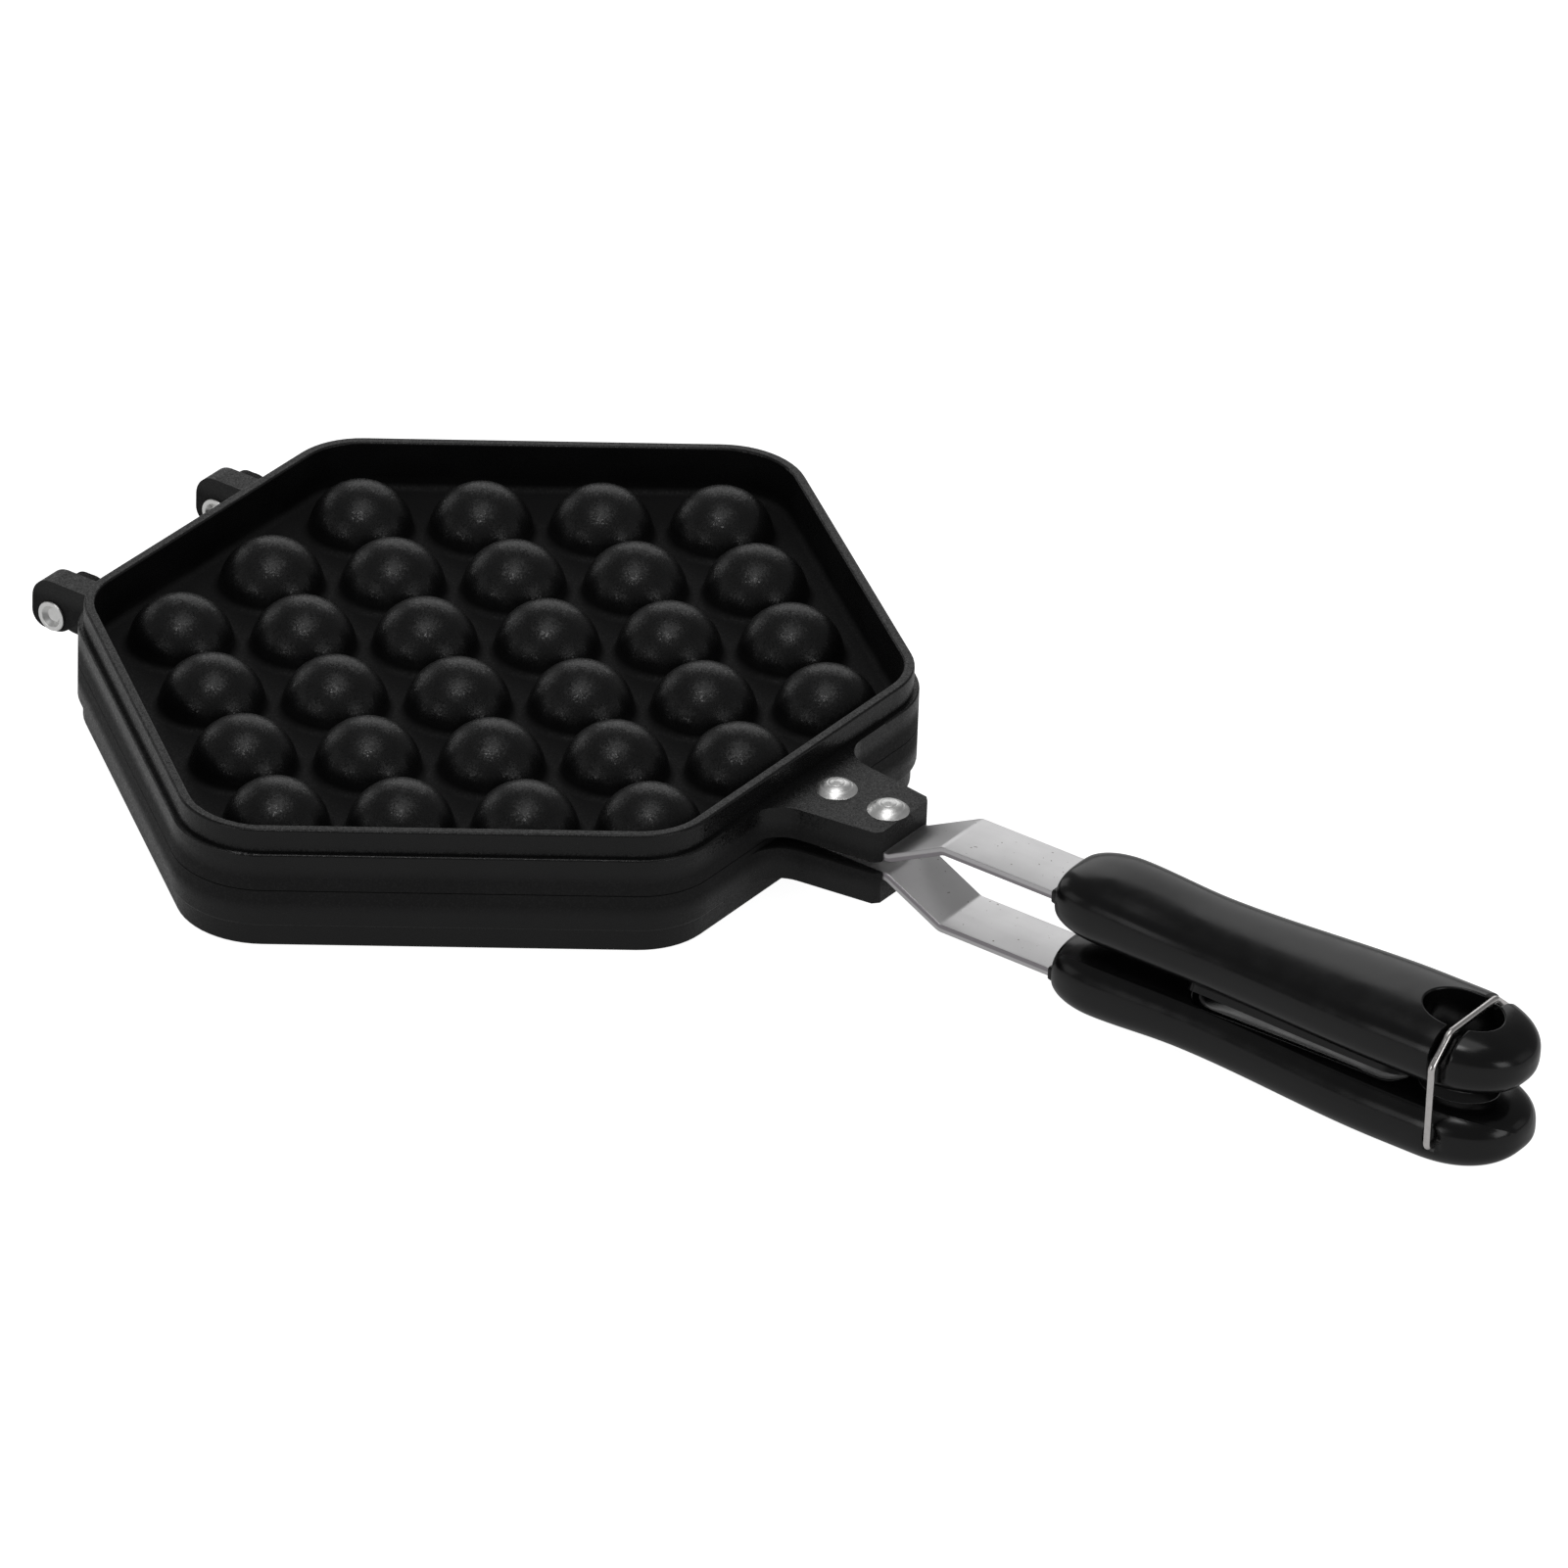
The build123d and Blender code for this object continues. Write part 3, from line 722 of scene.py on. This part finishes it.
def makeHandle(name, side):
    body = ringSurface(name + "_handle_moulding", placed(handleRings(name), startX, side))
    cutters = [ringSurface("cutter", placed(rings, startX, side)) for rings in (holeRings(), hollowRings())]
    if name == "lower":
        cutters += [clipHole(end) for end in (-1, 1)]
    cutAway(body, cutters)
    finishPiece(body, plasticMaterial, name + "_half", 32)
    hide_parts(name + "_handle")
    # flash that stands round the strap where it enters the handle
    xs = np.array([-collar["proud"], -collar["proud"] + 0.15, 0.6, collar["inside"]])
    grows = np.array([0.1, collar["over"], collar["over"] + 0.15, collar["over"] + 0.15])
    rings = []
    for x, grow in zip(xs, grows):
        corner = collar["corner"] * grow + 0.1
        y, z = roundedOutline(strap["width"] / 2 + grow, strap["thickness"] / 2 + grow, corner, 5)
        rings.append(np.stack([np.full_like(y, x), y, z + strapHigh], -1))
    flash = ringSurface(name + "_handle_collar", placed(np.array(rings), startX, side))
    finishPiece(flash, plasticMaterial, name + "_half")


def clipHole(end):
    # round hole for a turned-in end of the clip, in the side of the lower handle
    angles = turnAngles(24)
    radius = clip["wire"] + 0.05
    inner = legOut - clip["legGap"] - clip["wire"] - clip["pivotDepth"] - 0.1
    rings = []
    for y in (inner, legOut + 2):
        x = clipX + radius * np.cos(angles)
        z = -clip["pivotDrop"] + radius * np.sin(angles)
        rings.append(np.stack([x, np.full_like(x, y * end), z], -1))
    return ringSurface("cutter", placed(np.array(rings), startX, 1))


for name, side in halves.items():
    makeHandle(name, side)
print("handles moulded")


def makeClip():
    # a circle carried along the bent route in the plane x = clipX, with rounded ends
    end = legOut - clip["legGap"] - clip["wire"] - clip["pivotDepth"]
    half = [(end, -clip["pivotDrop"]), (legOut, -clip["pivotDrop"]), (legOut, clip["shoulder"])]
    half = half + [(clip["barHalf"], clip["barHeight"])]
    corners = half + [(-y, z) for y, z in reversed(half)]
    bends = [clip["footBend"], *[clip["bend"]] * 4, clip["footBend"]]
    route, way = roundedRoute(corners, bends, 9)
    inset = clip["wire"] * (1 - np.cos(np.linspace(0, np.pi / 2, 5)))
    shrink = clip["wire"] * np.sin(np.linspace(0.12, np.pi / 2, 5))
    firstEnd = route[0] + inset[:, None] * way[0]
    lastEnd = route[-1] - inset[::-1, None] * way[-1]
    route = np.vstack([firstEnd, route[1:-1], lastEnd])
    way = np.vstack([np.repeat(way[:1], 5, 0), way[1:-1], np.repeat(way[-1:], 5, 0)])
    radius = np.concatenate([shrink, np.full(len(route) - 10, clip["wire"]), shrink[::-1]])
    angles = turnAngles(28)
    square = np.stack([-way[:, 1], way[:, 0]], -1)
    flat = route[:, None, :] + square[:, None, :] * (radius[:, None] * np.sin(angles))[..., None]
    x = clipX + radius[:, None] * np.cos(angles)
    rings = np.stack([x, flat[..., 0], flat[..., 1]], -1)
    piece = ringSurface("clip_wire_bail", placed(rings, startX, 1))
    finishPiece(piece, wireMaterial, "clip")
    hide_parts("wire_clip")


makeClip()
print("clip bent")


rivet = {
    "head": 4.6,            # radius
    "height": 2.0,
    "shank": 2.4,
    "tail": 3.4,
    "tailHeight": 0.8,
    # radius, width and height of each stamped ring
    "rings": [(3.2, 0.25, -0.05), (1.8, 0.2, -0.04), (0.0, 0.6, 0.12)],
}
pin = {"head": 3.5, "height": 0.5, "edge": 0.3, "shank": 2.7, "mouth": 2.5, "floor": 1.7, "depth": 1.2}


def revolved(radii, heights, around=64):
    # profile turned round the Z axis
    angles = turnAngles(around)
    x = radii[:, None] * np.cos(angles)
    y = radii[:, None] * np.sin(angles)
    return np.stack([x, y, np.broadcast_to(heights[:, None], x.shape)], -1)


def makeRivet(name, side):
    # head: a spherical cap plus a narrow bell curve for each stamped ring; then shank and turned tail
    low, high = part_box(name)
    middleX = (low.x + high.x) / 2
    base = abs((low.z if side < 0 else high.z) - partingZ) / mm - rivet["height"]
    foot = abs((high.z if side < 0 else low.z) - partingZ) / mm
    radius = (rivet["head"] ** 2 + rivet["height"] ** 2) / (2 * rivet["height"])
    r = np.concatenate([[0.01], np.linspace(0.1, rivet["head"] - 0.12, 60)])
    z = base + rivet["height"] - radius + np.sqrt(radius ** 2 - r ** 2)
    for place, width, height in rivet["rings"]:
        z = z + height * np.exp(-((r - place) / width) ** 2)
    top = r[-1]
    rest = np.array([
        (top + 0.09, z[-1] - 0.06), (rivet["head"], z[-1] - 0.16),
        (rivet["head"] - 0.05, base), (rivet["shank"], base),
        (rivet["shank"], foot + rivet["tailHeight"]), (rivet["tail"], foot + rivet["tailHeight"]),
        (rivet["tail"], foot + rivet["tailHeight"] / 2), (rivet["tail"] - rivet["tailHeight"] / 2, foot),
    ])
    rings = revolved(np.concatenate([r, rest[:, 0]]), np.concatenate([z, rest[:, 1]]))
    piece = ringSurface(name + "_head", placed(rings, middleX, side))
    finishPiece(piece, rivetMaterial, name.split("_")[0] + "_half", 40)
    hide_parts(name)


def makePin(name):
    # head with a rounded edge and a raised ring round a conical recess, the shank, and a plain head
    low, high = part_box(name)
    middleX, middleZ = (low.x + high.x) / 2, (low.z + high.z) / 2
    length = (high.y - low.y) / mm
    edge = pin["edge"]
    turn = np.linspace(0, np.pi / 2, 6)
    outer = np.stack([pin["head"] - edge + edge * np.sin(turn), length - edge + edge * np.cos(turn)], -1)
    recess = np.array([(0.01, length - pin["depth"]), (pin["floor"] - 0.15, length - pin["depth"] + 0.04),
                       (pin["floor"], length - pin["depth"] + 0.2), (pin["mouth"] - 0.12, length - 0.2),
                       (pin["mouth"], length - 0.05), (pin["mouth"] + 0.12, length)])
    neck = np.array([(pin["head"], length - pin["height"]), (pin["shank"], length - pin["height"]),
                     (pin["shank"], pin["height"]), (pin["head"], pin["height"])])
    far = np.stack([pin["head"] - edge + edge * np.cos(turn), edge - edge * np.sin(turn)], -1)
    profile = np.vstack([recess, outer, neck, far, [(0.01, 0)]])
    rings = revolved(profile[:, 0], profile[:, 1])
    # the profile's height runs along -Y, from the far end to the near one
    turned = np.stack([rings[..., 0], -rings[..., 2], rings[..., 1]], -1)
    piece = ringSurface(name + "_rivet", turned * mm + (middleX, high.y, middleZ))
    finishPiece(piece, pinMaterial, "lower_half", 40)
    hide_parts(name)


for name, side in halves.items():
    for which in ("near", "far"):
        makeRivet(f"{name}_strap_rivet_{which}", side)
for which in ("left", "right"):
    makePin("hinge_pin_" + which)
print("rivets and pins set")


studio = {
    "floorSize": 6.0,
    "floorColour": (0.66, 0.66, 0.66),
    "floorGlow": 0.95,      # added for the camera only, so that the floor shows white
    "floorGlossGlow": 0.2,  # added for reflections
    "worldLight": 0.24,
    "lamps": {
        # name: (place, aim, width, height, power)
        "overhead": ((0, 0, 1.62), (0, 0, 0), 0.9, 0.9, 3.2),
        "spot": ((0.07, -0.36, 1.21), (0, 0, 0), 0.3, 0.3, 1.7),
        "backWall": ((-0.92, 1.47, 0.79), (0, 0, 0.02), 1.4, 1.1, 3.8),
        "right": ((1.79, -0.32, 0.57), (0, 0, 0.02), 0.75, 0.75, 3.9),
        "front": ((-0.32, -1.79, 0.57), (0, 0, 0.02), 0.75, 0.75, 3.5),
        "left": ((-1.79, 0.32, 0.57), (0, 0, 0.02), 0.75, 0.75, 1.2),
        "frontLeft": ((-1.49, -1.04, 0.57), (0, 0, 0.02), 0.75, 0.75, 0.8),
        "backRight": ((1.49, 1.04, 0.57), (0, 0, 0.02), 0.75, 0.75, 0.5),
    },
}


def makeFloor():
    half = studio["floorSize"] / 2
    mesh = bpy.data.meshes.new("studioFloor")
    corners = [(-half, -half, 0), (half, -half, 0), (half, half, 0), (-half, half, 0)]
    mesh.from_pydata(corners, [], [(0, 1, 2, 3)])
    floor = bpy.data.objects.new("studioFloor", mesh)
    bpy.context.scene.collection.objects.link(floor)
    material = bpy.data.materials.new("paleFloor")
    material.use_nodes = True
    tree = material.node_tree
    tree.nodes.clear()
    output = tree.nodes.new("ShaderNodeOutputMaterial")
    paint = tree.nodes.new("ShaderNodeBsdfDiffuse")
    paint.inputs["Color"].default_value = (*studio["floorColour"], 1)
    glow = tree.nodes.new("ShaderNodeEmission")
    path = tree.nodes.new("ShaderNodeLightPath")
    seen = addMath(tree, "MULTIPLY", path.outputs["Is Camera Ray"], studio["floorGlow"])
    mirrored = addMath(tree, "MULTIPLY", path.outputs["Is Glossy Ray"], studio["floorGlossGlow"])
    tree.links.new(addMath(tree, "ADD", seen, mirrored), glow.inputs["Strength"])
    both = tree.nodes.new("ShaderNodeAddShader")
    tree.links.new(paint.outputs[0], both.inputs[0])
    tree.links.new(glow.outputs[0], both.inputs[1])
    tree.links.new(both.outputs[0], output.inputs["Surface"])
    dress(floor, material)


def makeWorld():
    world = bpy.data.worlds.new("paleRoom")
    bpy.context.scene.world = world
    world.use_nodes = True
    tree = world.node_tree
    tree.nodes.clear()
    output = tree.nodes.new("ShaderNodeOutputWorld")
    room = tree.nodes.new("ShaderNodeBackground")
    path = tree.nodes.new("ShaderNodeLightPath")
    seen = path.outputs["Is Camera Ray"]
    tree.links.new(addRange(tree, seen, 0, 1, studio["worldLight"], 1.0), room.inputs["Strength"])
    tree.links.new(room.outputs[0], output.inputs["Surface"])


def makeLamps():
    for name, (place, aim, width, height, power) in studio["lamps"].items():
        data = bpy.data.lights.new(name, "AREA")
        data.shape, data.size, data.size_y, data.energy = "RECTANGLE", width, height, power
        lamp = bpy.data.objects.new(name, data)
        lamp.location = place
        lamp.rotation_mode = "QUATERNION"
        lamp.rotation_quaternion = (Vector(aim) - Vector(place)).to_track_quat("-Z", "Y")
        lamp.visible_camera = False
        bpy.context.scene.collection.objects.link(lamp)


cameraSetup = {
    "spot": (1.4214, -2.0454, 1.5173),
    "aim": (0.01094, -0.02590, 0.04061),
    "roll": 2.1,        # degrees
    "lens": 312.68,
    "sensor": 36.0,
}


def makeCamera():
    data = bpy.data.cameras.new("photoCamera")
    data.lens, data.sensor_width, data.sensor_fit = cameraSetup["lens"], cameraSetup["sensor"], "HORIZONTAL"
    data.clip_start, data.clip_end = 0.05, 50
    camera = bpy.data.objects.new("photoCamera", data)
    camera.location = cameraSetup["spot"]
    look = (Vector(cameraSetup["aim"]) - Vector(cameraSetup["spot"])).to_track_quat("-Z", "Y")
    camera.rotation_mode = "QUATERNION"
    camera.rotation_quaternion = look @ Quaternion((0, 0, 1), math.radians(cameraSetup["roll"]))
    bpy.context.scene.collection.objects.link(camera)
    bpy.context.scene.camera = camera


makeFloor()
makeWorld()
makeLamps()
makeCamera()
bpy.context.scene.view_settings.view_transform = "Standard"
print("studio ready")
